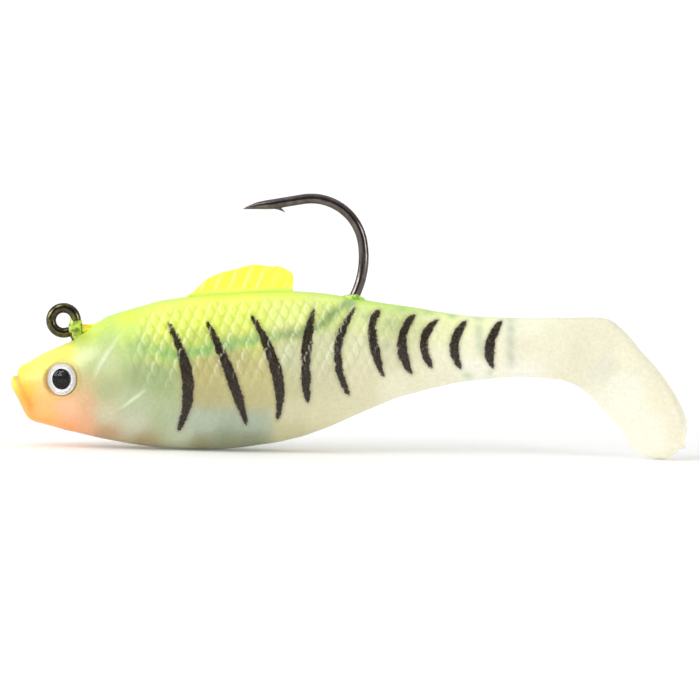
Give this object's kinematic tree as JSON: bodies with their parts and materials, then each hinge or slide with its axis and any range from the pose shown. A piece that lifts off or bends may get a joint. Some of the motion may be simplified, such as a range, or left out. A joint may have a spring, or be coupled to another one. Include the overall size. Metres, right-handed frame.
{
  "type": "soft swimbait",
  "caption": "Soft-plastic minnow lure with a moulded-in lead head and foil, an upturned hook, a soft dorsal fin, domed eyes and a boot tail on a flexing stem.",
  "frame": {"origin": "centre of the line-tie eye on the fish's back", "axes": "+X from the nose to the tail, +Z towards the back, +Y towards the right flank and along the line-tie eye's bore. Belly and tail tip rest on one level."},
  "size_m": [0.1006, 0.014, 0.0385],
  "materials": {
    "soft_body": "gloss",
    "soft_rear": "gloss",
    "soft_stem": "gloss",
    "soft_tail": "gloss",
    "fin": "gloss",
    "lead": "matte",
    "hook_wire": "gloss",
    "foil": "gloss",
    "iris": "gloss",
    "pupil": "gloss",
    "eye_dome": "gloss"
  },
  "bodies": {
    "front": {"front_body": "soft_body", "lead_jig_head": "lead", "hook": "hook_wire", "foil_flash": "foil", "iris_left": "iris", "pupil_left": "pupil", "eye_dome_left": "eye_dome", "iris_right": "iris", "pupil_right": "pupil", "eye_dome_right": "eye_dome"},
    "rear": {"mid_section": "soft_rear"},
    "stem": {"tail_stem": "soft_stem"},
    "tail": {"boot_tail": "soft_tail"},
    "fin": {"dorsal_fin": "fin"}
  },
  "joints": [
    {"name": "body_flex", "type": "hinge", "parent": "front", "child": "rear", "pos_m": [0.0505, 0, -0.0035], "axis": [0, 0, 1], "range_deg": [-18, 18], "stiffness_Nm_per_rad": 0.009},
    {"name": "stem_flex", "type": "hinge", "parent": "rear", "child": "stem", "pos_m": [0.061, 0, -0.0028], "axis": [0, 0, 1], "range_deg": [-25, 25], "stiffness_Nm_per_rad": 0.0022},
    {"name": "tail_flex", "type": "hinge", "parent": "stem", "child": "tail", "pos_m": [0.072, 0, -0.0025], "axis": [0, 0, 1], "range_deg": [-35, 35], "stiffness_Nm_per_rad": 0.0009},
    {"name": "fin_flex", "type": "hinge", "parent": "front", "child": "fin", "pos_m": [0.0182, 0, 0.0042], "axis": [0.9971, 0, 0.0767], "range_deg": [-35, 35], "stiffness_Nm_per_rad": 0.0002}
  ]
}
